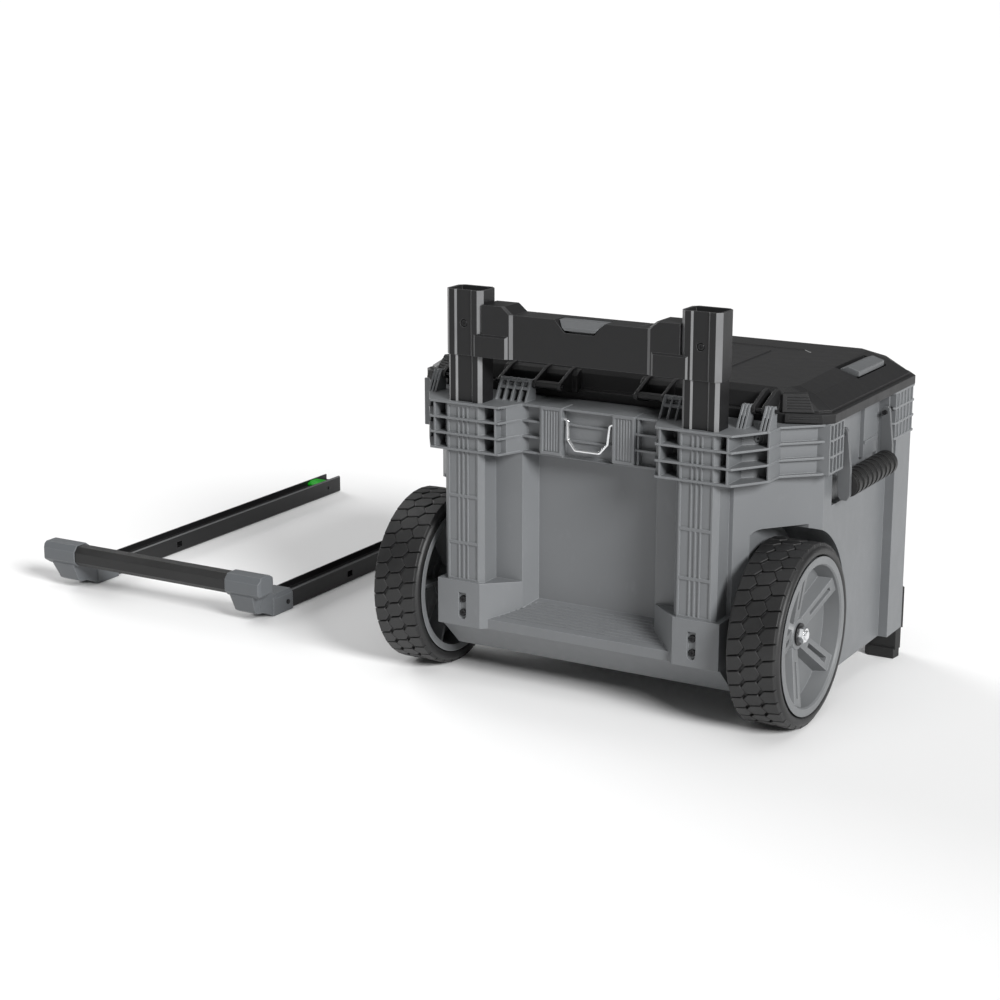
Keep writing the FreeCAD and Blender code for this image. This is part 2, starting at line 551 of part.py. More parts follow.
def coil(radius, wire, z0, z1, turns, x, y):
    """Compression spring as a swept wire round an upright axis."""
    helix = Part.makeHelix((z1 - z0) / turns, z1 - z0, radius)
    start = Part.Wire([Part.makeCircle(wire, V(radius, 0, 0), V(0, 1, 0))])
    spring = Part.Wire(helix.Edges).makePipeShell([start], True, True)
    spring.translate(V(x, y, z0))
    return spring


# ---- wheels ----
def tyre():
    profile = [(RIM_R - 3.0, WHEEL_IN + 4), (RIM_R + 0.3, WHEEL_IN), (108.5, WHEEL_IN),
               (WHEEL_R - 1.6, WHEEL_IN + 5), (WHEEL_R, WHEEL_IN + 14), (WHEEL_R, WHEEL_OUT - 14),
               (WHEEL_R - 1.6, WHEEL_OUT - 5), (108.5, WHEEL_OUT), (RIM_R + 0.3, WHEEL_OUT),
               (RIM_R - 3.0, WHEEL_OUT - 4)]
    wire = Part.makePolygon([V(x, AXLE_Y, AXLE_Z + r) for r, x in profile + profile[:1]])
    return Part.Face(wire).revolve(V(0, AXLE_Y, AXLE_Z), V(1, 0, 0), 360)


def spoke_section(radius, half_base, half_top, low, high):
    """Ridge cross-section of a spoke at a given radius, standing on the dish."""
    corners = [(low, -half_base), (high, -half_top), (high, half_top), (low, half_base)]
    return Part.makePolygon([V(x, AXLE_Y + y, AXLE_Z + radius) for x, y in corners + corners[:1]])


def hub():
    """Dished wheel centre: rim band, sloping dish, ridged spokes and a central boss."""
    band = [(RIM_R - 3.05, WHEEL_IN + 4), (RIM_R - 3.05, WHEEL_OUT - 4), (RIM_R, WHEEL_OUT),
            (RIM_R - 1, HUB_OUT), (RIM_R - 9, HUB_OUT), (RIM_R - 11, HUB_OUT - 2), (RIM_R - 15, 262),
            (26, 249), (26, 244),
            (RIM_R - 16.5, 257), (RIM_R - 9, 254), (RIM_R - 9, HUB_IN), (RIM_R, HUB_IN)]
    wire = Part.makePolygon([V(x, AXLE_Y, AXLE_Z + r) for r, x in band + band[:1]])
    dish = Part.Face(wire).revolve(V(0, AXLE_Y, AXLE_Z), V(1, 0, 0), 360)
    boss = rod_x(28, 242, 257, AXLE_Y, AXLE_Z)
    collar = Part.makeCone(25, 19, 7.3, V(257, AXLE_Y, AXLE_Z), V(1, 0, 0))
    pieces = [dish, boss, collar, rod_x(17, HUB_IN, 264, AXLE_Y, AXLE_Z)]
    ridge_ends = [spoke_section(16, 14, 9, 243, 262), spoke_section(RIM_R - 12, 17, 11, 256, 279)]
    channel_ends = [spoke_section(34, 1.5, 4, 258.5, 270), spoke_section(RIM_R - 21, 2, 5, 269, 282)]
    ridge = Part.makeLoft(ridge_ends, True, True)
    channel = Part.makeLoft(channel_ends, True, True)
    ridge = ridge.cut(channel)
    back_rib = box(228, 254, AXLE_Y - 2, AXLE_Y + 2, AXLE_Z + 14, AXLE_Z + RIM_R - 8)
    for i in range(SPOKES):
        for shape in (ridge, back_rib):
            turned = shape.copy()
            turned.rotate(V(0, AXLE_Y, AXLE_Z), V(1, 0, 0), SPOKE_TURN + 360.0 / SPOKES * i)
            pieces.append(turned)
    return join(pieces).cut(rod_x(BUSH_R, HUB_IN - 1, 270, AXLE_Y, AXLE_Z))


def bushes():
    solids = []
    for x0, x1 in ((HUB_IN, HUB_IN + 18), (246, 264)):
        bush = rod_x(BUSH_R, x0, x1, AXLE_Y, AXLE_Z)
        solids.append(bush.cut(rod_x(AXLE_R + RUN, x0 - 1, x1 + 1, AXLE_Y, AXLE_Z)))
    return solids


def axle():
    shaft = rod_x(AXLE_R, -276, 276, AXLE_Y, AXLE_Z)
    return shaft.makeChamfer(1.0, [edge for edge in shaft.Edges if len(edge.Vertexes) == 1])


def axle_nut():
    nut = hexagon(10.4, 266.4, 274.0, AXLE_Y, AXLE_Z)
    rounding = Part.makeCone(10.6, 8.6, 2.0, V(272.0, AXLE_Y, AXLE_Z), V(1, 0, 0))
    rounding = rounding.fuse(rod_x(10.6, 266, 272, AXLE_Y, AXLE_Z))
    return nut.common(rounding).cut(rod_x(AXLE_R, 260, 280, AXLE_Y, AXLE_Z))


def axle_washer():
    ring = rod_x(14, 264.3, 266.4, AXLE_Y, AXLE_Z)
    return ring.cut(rod_x(AXLE_R, 260, 280, AXLE_Y, AXLE_Z))


# ---- small moving pieces ----
def wire_path(points, radius, bend):
    """Round wire along straight runs joined by tangent arcs."""
    edges = []
    start = points[0]
    for before, corner, after in zip(points, points[1:], points[2:]):
        a = (before - corner).normalize()
        b = (after - corner).normalize()
        half = a.getAngle(b) / 2
        cut = bend / math.tan(half)
        p0 = corner + a * cut
        p1 = corner + b * cut
        middle = corner + (a + b).normalize() * (bend / math.sin(half) - bend)
        edges.append(Part.makeLine(start, p0))
        edges.append(Part.Arc(p0, middle, p1).toShape())
        start = p1
    edges.append(Part.makeLine(start, points[-1]))
    path = Part.Wire(edges)
    circle = Part.Wire([Part.makeCircle(radius, points[0], points[1] - points[0])])
    return path.makePipeShell([circle], True, False)


def bail():
    """Wire loop hanging between its blocks, with its two ends turned out into their holes."""
    half = [(42, 0, BAIL_Z), (29.5, 0, BAIL_Z), (27.5, 2.5, 336), (17, 3.5, 323.5)]
    points = [V(x, BAIL_Y + y, z) for x, y, z in half]
    points += [V(-x, BAIL_Y + y, z) for x, y, z in reversed(half)]
    return wire_path(points, BAIL_R, 3.4)


def carry_handle_frame():
    """Two arms joined by a flat bar inside the grip."""
    arm = [(-5.0, 4.5), (-2.0, 8), (3.5, 8), (6.0, 4.5), (11.5, -42), (12.0, -76), (8.0, -83), (0.0, -83),
           (-4.0, -78), (-5.0, -70)]
    plate = [(CARRY_X + x, CARRY_Z + z) for x, z in arm]
    arms = [prism_y(plate, CARRY_Y0, CARRY_Y0 + 5), prism_y(plate, CARRY_Y1 - 5, CARRY_Y1)]
    bar = box(CARRY_X - 0.5, CARRY_X + 10, CARRY_Y0 + 4, CARRY_Y1 - 4, CARRY_Z - 70, CARRY_Z - 58)
    frame = join(arms + [bar])
    return frame.cut(rod_y(CARRY_PIN_R + RUN, CARRY_Y0 - 1, CARRY_Y1 + 1, CARRY_X, CARRY_Z))


def carry_pins():
    """Short pins from the wall pads through each arm."""
    return [side for y0, y1 in ((CARRY_Y0 - 34, CARRY_Y0 + 8), (CARRY_Y1 - 8, CARRY_Y1 + 14))
            for side in both_sides(rod_y(CARRY_PIN_R, y0, y1, CARRY_X, CARRY_Z))]


def carry_grip():
    """Soft grip over the bar, with raised finger rings."""
    x, z = CARRY_X + 5.5, CARRY_Z - 64
    length = CARRY_Y1 - CARRY_Y0 - 10
    core = rod_y(14.5, CARRY_Y0 + 5, CARRY_Y1 - 5, x, z)
    middles = [CARRY_Y0 + 5 + (i + 0.5) * length / GRIP_RINGS for i in range(GRIP_RINGS)]
    rings = [rod_y(16.0, middle - 4, middle + 4, x, z) for middle in middles]
    grip = join([core] + rings).common(box(x - 10.5, x + 20, -300, 300, z - 20, z + 20))
    return grip.cut(box(CARRY_X - 0.5, CARRY_X + 10, -300, 300, CARRY_Z - 70, CARRY_Z - 58))


def front_latch():
    """Latch lever on the front panel; it stands in front of the lid's lip and swings out and down."""
    plate = prism_x([(LATCH_Y - 3.0, LATCH_Z - 4), (LATCH_Y - 8, LATCH_Z), (LATCH_Y - 8, 372), (-227.2, 385),
                     (-226.6, 389), (-223.4, 389), (-223.0, 374), (LATCH_Y - 4.6, 370),
                     (LATCH_Y - 3.8, LATCH_Z + 8), (LATCH_Y, LATCH_Z + 4)], LATCH_X - 30, LATCH_X + 30)
    ribs = [box(LATCH_X + x - 1.5, LATCH_X + x + 1.5, LATCH_Y - 9.4, LATCH_Y - 7, 312, 366)
            for x in (-20, -10, 0, 10, 20)]
    latch = join([plate] + ribs + [rod_x(4.2, LATCH_X - 30, LATCH_X + 30, LATCH_Y, LATCH_Z)])
    return latch.cut(rod_x(2.0 + RUN, LATCH_X - 31, LATCH_X + 31, LATCH_Y, LATCH_Z))


def front_foot():
    """Rubber corner foot with a guard that runs up the front of the post."""
    pad = prism([(246, -174), (281.5, -174), (283.5, -190), (266, -211), (240, -211), (240, -178)], 0, 14)
    neck = prism([(244, -176), (283, -176), (285, -190), (266, -212.5), (240, -212.5), (240, -178)],
                 12, FLOOR_GAP)
    guard = prism([(266, FRONT_Y), (283, -192.3), (286, -194), (268, -213), (238, -213), (238, FRONT_Y)],
                  FLOOR_GAP - 2, 96)
    return join([pad, neck, guard])


# ---- pull handle, drawn out and laid flat ----
# Its pieces are made on the +X side and mirrored about the middle of the handle.
GRIP_SECTION = [(119, 48), (126, 41), (141, 41), (148, 48), (148, 62), (141, 70), (126, 70), (119, 62)]


def handle_pair(shape):
    return [shape, shape.mirror(V(HANDLE_X, 0, 0), V(1, 0, 0))]


def rail():
    """Rail with a groove along its top and underside, and a stop hole through its web."""
    low, high, edge = RAIL_X - RAIL_HALF, RAIL_X + RAIL_HALF, 1.5
    outline = [(low, RAIL_Z0 + edge), (low + edge, RAIL_Z0), (high - edge, RAIL_Z0), (high, RAIL_Z0 + edge),
               (high, RAIL_Z1 - edge), (high - edge, RAIL_Z1), (low + edge, RAIL_Z1), (low, RAIL_Z1 - edge)]
    bar = prism_y(outline, RAIL_FAR, RAIL_NEAR)
    grooves = [box(RAIL_X - 12.5, RAIL_X + 12.5, RAIL_FAR - 1, RAIL_NEAR + 1, z0, z1)
               for z0, z1 in ((RAIL_Z1 - 9, RAIL_Z1 + 1), (RAIL_Z0 - 1, RAIL_Z0 + 7))]
    hole = box(RAIL_X - 20, RAIL_X + 20, -112, -99, RAIL_Z0 + 8, RAIL_Z1 - 10)
    screw_hole = rod_x(2.0, RAIL_X - 20, RAIL_X + 20, BRACKET_SCREW_Y, BRACKET_SCREW_Z)
    rivet_hole = rod_x(2.0, RAIL_X - 20, RAIL_X + 20, RIVET_Y, RIVET_Z)
    spring_pocket = rod_z(4.6, RAIL_Z1 - 17, RAIL_Z1 - 5, RAIL_X, DETENT_Y)
    well = box(RAIL_X - 12.5, RAIL_X + 12.5, DETENT_Y - 16.6, DETENT_Y + 16.6,
               DETENT_BASE - DETENT_TRAVEL, RAIL_Z1)
    return bar.cut(grooves + [hole, screw_hole, rivet_hole, spring_pocket, well])


def detent_button():
    """Sprung button in the rail's groove that snaps into a housing."""
    base = DETENT_BASE
    body = prism_x([(DETENT_Y - 16, base), (DETENT_Y + 16, base), (DETENT_Y + 16, base + 3),
                    (DETENT_Y + 8, base + 7.2), (DETENT_Y - 8, base + 7.2), (DETENT_Y - 16, base + 3)],
                   RAIL_X - 12.2, RAIL_X + 12.2)
    ridges = [prism_x([(y, base + 6.4), (y + 1.4, base + 6.4), (y + 1.4, base + 8), (y, base + 8)],
                      RAIL_X - 10, RAIL_X + 10) for y in (DETENT_Y - 4.7, DETENT_Y - 0.7, DETENT_Y + 3.3)]
    return body.cut(ridges + [rod_z(4.6, base - 1, base + 3, RAIL_X, DETENT_Y)])


def bracket():
    """Cast corner: a block on the end of the grip, stepping down and forward to sleeve the rail."""
    middle = RAIL_X
    end = HANDLE_X + 198.0
    start = HANDLE_X + GRIP_HALF_LENGTH
    block = prism_x([(112, 50), (124, 39.6), (142.4, 39.6), (149.4, 47), (149.4, 63), (142, 71.4),
                     (122, 71.4), (112, 64)], start, end)
    corners = [prism_y([(end + 1, 30), (end + 1, 46), (end - 20, 30)], 100, 160),
               prism_y([(end + 1, 80), (end + 1, 66), (end - 6, 80)], 100, 160),
               prism([(end + 1, 160), (end + 1, 143), (end - 8, 160)], 30, 80),
               prism([(end + 1, 100), (end + 1, 119), (end - 10, 100)], 30, 80)]
    block = block.cut(corners)
    leg_side = [(112, 62), (98, 40), (84, 30.0), (84, 4), (88, 0), (93, 0.0), (101, 5.5), (117, 11.5),
                (127, 12), (134, 16), (146, 41), (140, 50)]
    leg = prism_x(leg_side, middle - 17.5, middle + 17.5)
    front_side = [(middle - 17.5, 0), (middle + 17.5, 0), (middle + 18, 22), (end - 14, 44), (end - 14, 80),
                  (start + 2, 80), (start + 6, 44), (middle - 17.5, 26)]
    shoulders = prism_x([(118, 42), (126, 16), (134, 16), (146, 41), (140, 50), (118, 50)],
                        start + 2, end - 6)
    shoulders = shoulders.common(prism_y(front_side, 80, 160))
    sleeve = box(middle - 19, middle + 19, 46, 92, 0, 30.0)
    sleeve = sleeve.cut([prism_y([(middle + s * 20, 24), (middle + s * 20, 31), (middle + s * 13, 31)],
                                 40, 95) for s in (-1, 1)])
    sleeve = sleeve.cut(box(middle - RAIL_HALF, middle + RAIL_HALF, 40, RAIL_NEAR, -1, RAIL_Z1))
    whole = join([block, leg, shoulders, sleeve])
    bar_hole = rod_x(GRIP_TUBE_R, start - 1, start + 46, GRIP_Y, GRIP_Z)
    screws = [rod_x(2.0, middle + 8, middle + 20, BRACKET_SCREW_Y, BRACKET_SCREW_Z),
              rod_x(2.0, middle - 20, middle - 8, BRACKET_SCREW_Y, BRACKET_SCREW_Z)]
    return whole.cut([bar_hole] + screws)


def grip_tube():
    reach = GRIP_HALF_LENGTH + 44
    tube = rod_x(GRIP_TUBE_R, HANDLE_X - reach, HANDLE_X + reach, GRIP_Y, GRIP_Z)
    return tube.cut(rod_x(GRIP_TUBE_R - 2, HANDLE_X - 200, HANDLE_X + 200, GRIP_Y, GRIP_Z))


def grip_sleeve():
    sleeve = prism_x(GRIP_SECTION, HANDLE_X - GRIP_HALF_LENGTH + 0.2, HANDLE_X + GRIP_HALF_LENGTH - 0.2)
    return sleeve.cut(rod_x(GRIP_TUBE_R, HANDLE_X - 200, HANDLE_X + 200, GRIP_Y, GRIP_Z))


def cross_screw(y, z, x0, x1, head_r):
    """Screw along X with a domed head at each end."""
    shank = rod_x(1.98, x0, x1, y, z)
    heads = [rod_x(head_r, x1, x1 + 1.4, y, z), rod_x(head_r, x0 - 1.4, x0, y, z)]
    return join([shank] + heads)


# ---- write every piece ----
save("chest_tub", chest_tub())
save("lid_shell", lid_shell())
save("lid_seal", lid_seal())
save("hinge_pins", [side for x0, x1 in ((49, 146), (192, 240))
                    for side in both_sides(rod_x(HINGE_PIN_R - 0.01, x0, x1, HINGE_Y, HINGE_Z))])
save("bridge", bridge())
save("release_button", release_button())
save("release_spring", coil(3.6, 0.5, 446.2, 470.5, 7, 0, 189))
save("axle", axle())
save("axle_nuts", both_sides(axle_nut()))
save("axle_washers", both_sides(axle_washer()))
save("bail", bail())
housing_screw = screw_y(TUBE_X, HOUSING_FRONT - GROOVE_DEEP - 0.3, HOUSING_SCREW_Z, 4.6, 1.6, 7.5, 2.2)
save("bridge_screws", both_sides(housing_screw))
save("socket_screws", [side for z in SCREW_Z
                       for side in both_sides(screw_y(TUBE_X, BACK_Y - 1.4, z, 4.6, 2.6, 8.0, 2.4))])
save("carry_pins", carry_pins())
save("stack_pins", both_sides(stack_pin(0)))
save("latch_pins", [rod_x(1.98, c - 36, c + 36, LATCH_Y, LATCH_Z) for c in (-LATCH_X, LATCH_X)])

for side, place in (("left", lambda shape: shape), ("right", mirrored)):
    save(side + "_tube", place(back_tube()))
    save(side + "_housing", place(housing()))
    save(side + "_tyre", place(tyre()))
    save(side + "_hub", place(hub()))
    save(side + "_bushes", [place(bush) for bush in bushes()])
    save(side + "_carry_frame", place(carry_handle_frame()))
    save(side + "_carry_grip", place(carry_grip()))
    save(side + "_stack_latch", place(stack_latch()))
    save(side + "_front_latch", place(front_latch()))
    save(side + "_front_foot", place(front_foot()))

for name, shape in (("rail", rail()), ("corner_bracket", bracket()), ("detent_button", detent_button()),
                    ("detent_spring", coil(3.6, 0.5, RAIL_Z1 - 16.5, RAIL_Z1 - 5.5, 4, RAIL_X, DETENT_Y))):
    left, right = handle_pair(shape)
    save("left_" + name, left)
    save("right_" + name, right)
save("grip_tube", grip_tube())
save("grip_sleeve", grip_sleeve())
bracket_screw = cross_screw(BRACKET_SCREW_Y, BRACKET_SCREW_Z, RAIL_X - 19, RAIL_X + 19, 3.4)
save("handle_screws", handle_pair(bracket_screw))
rivet = cross_screw(RIVET_Y, RIVET_Z, RAIL_X - RAIL_HALF, RAIL_X + RAIL_HALF, 2.6)
save("detent_rivets", handle_pair(rivet))
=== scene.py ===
import bpy
import math
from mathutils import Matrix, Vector


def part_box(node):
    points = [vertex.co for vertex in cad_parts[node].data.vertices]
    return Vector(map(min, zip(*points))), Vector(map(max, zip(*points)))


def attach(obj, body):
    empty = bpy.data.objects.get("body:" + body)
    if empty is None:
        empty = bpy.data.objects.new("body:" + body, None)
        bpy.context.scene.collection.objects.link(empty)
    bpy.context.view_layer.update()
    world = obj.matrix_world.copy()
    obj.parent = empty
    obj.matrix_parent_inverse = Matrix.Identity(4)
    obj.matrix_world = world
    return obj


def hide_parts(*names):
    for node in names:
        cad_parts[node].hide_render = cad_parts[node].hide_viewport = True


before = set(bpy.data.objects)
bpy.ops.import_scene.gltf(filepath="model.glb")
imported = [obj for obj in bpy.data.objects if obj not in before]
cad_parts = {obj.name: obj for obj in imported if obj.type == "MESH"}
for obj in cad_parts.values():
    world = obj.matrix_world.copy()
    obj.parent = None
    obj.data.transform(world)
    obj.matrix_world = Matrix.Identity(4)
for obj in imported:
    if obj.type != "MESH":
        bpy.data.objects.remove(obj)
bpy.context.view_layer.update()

# ---- camera, studio light and floor ----
# A pale seamless floor under broad, even studio light: a key to the right of the camera, a weaker
# one from behind on the left for the chamfers, and one overhead. The room behind shows plain white,
# and lights the chest with a fifth of that.
CAMERA_PLACE = (-1.2071, 2.464, 0.9346)
CAMERA_LOOKS = (0.48705, -0.83628, -0.25182)
CAMERA_LENS = 77.506
CAMERA_SENSOR = 36.0
LIGHT_DISTANCE = 3          # only where the lights stand; their light is the same from any distance
ROOM_LIGHT = 0.20
FLOOR_SIZE = 240
FLOOR_DROP = 0.0006         # the floor lies this far under the wheels, so that the two never mix
FLOOR_COLOUR = (0.86, 0.86, 0.86, 1)
FLOOR_ROUGH = 0.9

bpy.ops.object.camera_add(location=CAMERA_PLACE)
camera = bpy.context.object
camera.rotation_euler = Vector(CAMERA_LOOKS).to_track_quat("-Z", "Y").to_euler()
camera.data.lens = CAMERA_LENS
camera.data.sensor_width = CAMERA_SENSOR
bpy.context.scene.camera = camera
bpy.context.scene.view_settings.view_transform = "Standard"


def studio_light(name, turn, height, strength, spread):
    """Even light from a direction: degrees from the back of the chest towards its right, and up."""
    turn, height = math.radians(turn), math.radians(height)
    towards = Vector((-math.sin(turn) * math.cos(height), math.cos(turn) * math.cos(height),
                      math.sin(height)))
    bpy.ops.object.light_add(type="SUN", location=towards * LIGHT_DISTANCE)
    light = bpy.context.object
    light.name = name
    light.rotation_euler = (-towards).to_track_quat("-Z", "Y").to_euler()
    light.data.energy = strength
    light.data.angle = math.radians(spread)


studio_light("key_light", 62, 28, 4.0, 18)
studio_light("edge_light", -112, 24, 1.5, 30)
studio_light("overhead_light", 10, 80, 0.75, 50)

world = bpy.data.worlds.new("studio")
world.use_nodes = True
room = world.node_tree.nodes["Background"]
room.inputs["Color"].default_value = (1.0, 1.0, 1.0, 1.0)
ray = world.node_tree.nodes.new("ShaderNodeLightPath")
seen = world.node_tree.nodes.new("ShaderNodeMath")
seen.operation = "MAXIMUM"
seen.inputs[1].default_value = ROOM_LIGHT
world.node_tree.links.new(ray.outputs["Is Camera Ray"], seen.inputs[0])
world.node_tree.links.new(seen.outputs[0], room.inputs["Strength"])
bpy.context.scene.world = world

bpy.ops.mesh.primitive_plane_add(size=FLOOR_SIZE, location=(0, 0, -FLOOR_DROP))
floor = bpy.context.object
floor.name = "floor"
floor_paint = bpy.data.materials.new("floor_paint")
floor_paint.use_nodes = True
paint = floor_paint.node_tree.nodes["Principled BSDF"]
paint.inputs["Base Color"].default_value = FLOOR_COLOUR
paint.inputs["Roughness"].default_value = FLOOR_ROUGH
floor.data.materials.append(floor_paint)


# ---- chest tub ----
# The tub is one big moulding in mid-grey polypropylene, with a fine spark-eroded grain. Its thin fins and
# ribs are painted paler along their edges, as a painted highlight.
EDGE_SAMPLES = 4            # rays that feel for an edge around each point
EDGE_GAIN = 5.0             # how quickly the painted edge highlight comes up towards an edge
CORNER_GAIN = 8.0           # a slanted face gives 0.5 and a square one 0 before these two, for the painted chamfer highlight
CORNER_FROM = 2.4
DARK_TONE, PALE_TONE = 0.86, 1.12       # the ends of the slow change of tone
TONE_SCALE = 7.0
SCUFF_SCALE, SCUFF_STRETCH = 26.0, (2.6, 2.6, 1.4)
SCUFF_FROM, SCUFF_GAIN = 0.62, 2.2      # where a scuff begins, and how sharp it is
SPECKLE_GAIN, SPECKLE_FROM = 0.5, 0.1
GRAIN_DEPTH = 0.0004
SCUFF_ROUGH, GRAIN_ROUGH = 0.16, 0.10


class Wire:
    """One socket in a material's node tree; arithmetic on it adds Math nodes."""

    def __init__(self, tree, socket=None):
        self.tree = tree
        self.socket = socket

    def add(self, kind, settings=None, values=None, out=0):
        """Adds a node of a kind, sets it up, fills its inputs and gives back one output."""
        made = self.tree.nodes.new("ShaderNode" + kind)
        for name, value in (settings or {}).items():
            setattr(made, name, value)
        for name, value in (values or {}).items():
            if isinstance(value, Wire):
                self.tree.links.new(value.socket, made.inputs[name])
            else:
                made.inputs[name].default_value = value
        return Wire(self.tree, made.outputs[out])

    def math(self, operation, first, second=0.0):
        return self.add("Math", {"operation": operation}, {0: first, 1: second})

    def limit(self):
        return self.add("Clamp", {}, {"Value": self})

    def __add__(self, other):
        return self.math("ADD", self, other)

    def __radd__(self, other):
        return self.math("ADD", other, self)

    def __sub__(self, other):
        return self.math("SUBTRACT", self, other)

    def __rsub__(self, other):
        return self.math("SUBTRACT", other, self)

    def __mul__(self, other):
        return self.math("MULTIPLY", self, other)

    def __rmul__(self, other):
        return self.math("MULTIPLY", other, self)


def new_finish(name):
    """A fresh material, its Principled shader and a wire to build its pattern from."""
    made = bpy.data.materials.new(name)
    made.use_nodes = True
    shader = made.node_tree.nodes["Principled BSDF"]
    return made, shader, Wire(made.node_tree)


def fill(wire, shader, values):
    for name, value in values.items():
        if isinstance(value, Wire):
            wire.tree.links.new(value.socket, shader.inputs[name])
        else:
            shader.inputs[name].default_value = value


def noise(wire, scale, detail=3.0, stretch=(1, 1, 1)):
    place = wire.add("TexCoord", out="Object")
    turned = wire.add("Mapping", {}, {"Vector": place, "Scale": stretch})
    return wire.add("TexNoise", {}, {"Vector": turned, "Scale": scale, "Detail": detail})


def edge_mask(wire, radius, gain):
    """0 on flat faces, up to 1 along edges, and the rounded normal that shows them."""
    rounded = wire.add("Bevel", {"samples": EDGE_SAMPLES}, {"Radius": radius})
    flat = wire.add("NewGeometry", out="Normal")
    lined_up = wire.add("VectorMath", {"operation": "DOT_PRODUCT"}, {0: rounded, 1: flat}, out="Value")
    return ((1.0 - lined_up) * gain).limit(), rounded


def tint(wire, factor, first, second):
    return wire.add("Mix", {"data_type": "RGBA"}, {0: factor, 6: first, 7: second}, out=2)


def cut_corners(wire, first, second):
    """1 on the slanted faces between two directions, such as the chamfers along a square tube, where a
    highlight is painted.
    """
    facing = wire.add("NewGeometry", out="Normal")
    one = wire.add("SeparateXYZ", {}, {"Vector": facing}, out=first)
    other = wire.add("SeparateXYZ", {}, {"Vector": facing}, out=second)
    return (wire.math("ABSOLUTE", one * other) * CORNER_GAIN - CORNER_FROM).limit()


def moulded(name, colour, scuff_and_highlight_colour, grain=1500, relief=0.12, rough=0.5, radius=0.0011, gloss=0.45,
            scuffs=0.3, edge_highlight=1.0, corners=None):
    """Moulded plastic: fine grain, slow change of tone, faint scuffs, and painted highlights on edges and
    chamfers.
    """
    made, shader, wire = new_finish(name)
    tone = noise(wire, TONE_SCALE, 2.0)
    scuff = noise(wire, SCUFF_SCALE, 5.0, SCUFF_STRETCH)
    fine = noise(wire, grain, 2.0)
    edge, rounded = edge_mask(wire, radius, EDGE_GAIN)
    darker = tuple(part * DARK_TONE for part in colour[:3]) + (1.0,)
    lighter = tuple(min(1.0, part * PALE_TONE) for part in colour[:3]) + (1.0,)
    base = tint(wire, tone, darker, lighter)
    scuffed = tint(wire, ((scuff - SCUFF_FROM) * SCUFF_GAIN).limit() * scuffs, base, scuff_and_highlight_colour)
    speckled = tint(wire, (fine - 0.5) * SPECKLE_GAIN + SPECKLE_FROM, scuffed, darker)
    if corners:
        # Painted highlight: chamfers, found by their facing, are tinted towards the paler colour.
        speckled = tint(wire, cut_corners(wire, *corners) * (0.55 + 0.3 * scuff), speckled, scuff_and_highlight_colour)
    # Painted highlight: edges are tinted towards the paler colour, standing in for light catching them.
    shown = tint(wire, edge * (0.55 + 0.45 * scuff) * edge_highlight, speckled, scuff_and_highlight_colour)
    bumped = wire.add("Bump", {}, {"Strength": relief, "Distance": GRAIN_DEPTH, "Height": fine,
                                   "Normal": rounded})
    roughness = rough + SCUFF_ROUGH * (scuff - 0.5) + GRAIN_ROUGH * (fine - 0.5)
    fill(wire, shader, {"Base Color": shown, "Roughness": roughness, "Normal": bumped,
                        "Specular IOR Level": gloss})
    return made


def dress(material, *nodes):
    """Gives CAD pieces a material and leaves their meshes alone."""
    for name in nodes:
        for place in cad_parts[name].material_slots:
            place.material = material


tub_grey = moulded("tub_grey", (0.140, 0.146, 0.152, 1), (0.28, 0.29, 0.30, 1), grain=1300, rough=0.46,
                   gloss=0.5)
dress(tub_grey, "chest_tub")


# ---- lid ----
# Charcoal moulding with a coarser, more pebbled grain than the tub. It swings on two steel pins at
# the back and closes on a rubber seal.
lid_black = moulded("lid_black", (0.0125, 0.0125, 0.013, 1), (0.085, 0.086, 0.088, 1), grain=900,
                    relief=0.22, rough=0.46, gloss=0.32, scuffs=0.06, edge_highlight=0.4)
dress(lid_black, "lid_shell")


def turned_steel(name, colour, rough, stretch):
    """Bare or plated steel with fine lathe or drawing lines and a little staining."""
    made, shader, wire = new_finish(name)
    lines = noise(wire, 260.0, 2.0, stretch)
    stain = noise(wire, 90.0, 4.0)
    edge, rounded = edge_mask(wire, 0.0004, 4.0)
    dull = tuple(part * 0.62 for part in colour[:3]) + (1.0,)
    shown = tint(wire, ((stain - 0.5) * 2.0).limit() * 0.6, colour, dull)
    bumped = wire.add("Bump", {}, {"Strength": 0.12, "Distance": 0.0002, "Height": lines, "Normal": rounded})
    fill(wire, shader, {"Base Color": shown, "Metallic": 1.0 - 0.15 * stain,
                        "Roughness": rough + 0.18 * (stain - 0.4) + 0.06 * edge, "Normal": bumped})
    return made


pin_steel = turned_steel("pin_steel", (0.045, 0.045, 0.047, 1), 0.36, (0.4, 6, 6))
dress(pin_steel, "hinge_pins", "stack_pins", "latch_pins", "carry_pins", "detent_rivets", "grip_tube")


def rubber(name, colour, bloom, grain, relief, rough):
    """Rubber with a dusty bloom in patches, a painted highlight along its edges and a fine matt skin."""
    made, shader, wire = new_finish(name)
    patches = noise(wire, 22.0, 4.0)
    fine = noise(wire, grain, 3.0)
    edge, rounded = edge_mask(wire, 0.0008, 4.0)
    base = tint(wire, ((patches - 0.45) * 2.4).limit() * 0.7, colour, bloom)
    # Painted highlight: edges are tinted paler than the bloom, standing in for light catching them.
    shown = tint(wire, edge * 0.45, base, tuple(min(1.0, part * 1.5) for part in bloom[:3]) + (1.0,))
    bumped = wire.add("Bump", {}, {"Strength": relief, "Distance": 0.0005, "Height": fine, "Normal": rounded})
    fill(wire, shader, {"Base Color": shown, "Roughness": rough + 0.22 * (patches - 0.5), "Normal": bumped})
    return made


seal_rubber = rubber("seal_rubber", (0.012, 0.012, 0.012, 1), (0.03, 0.03, 0.03, 1), 2400, 0.3, 0.75)
dress(seal_rubber, "lid_seal")
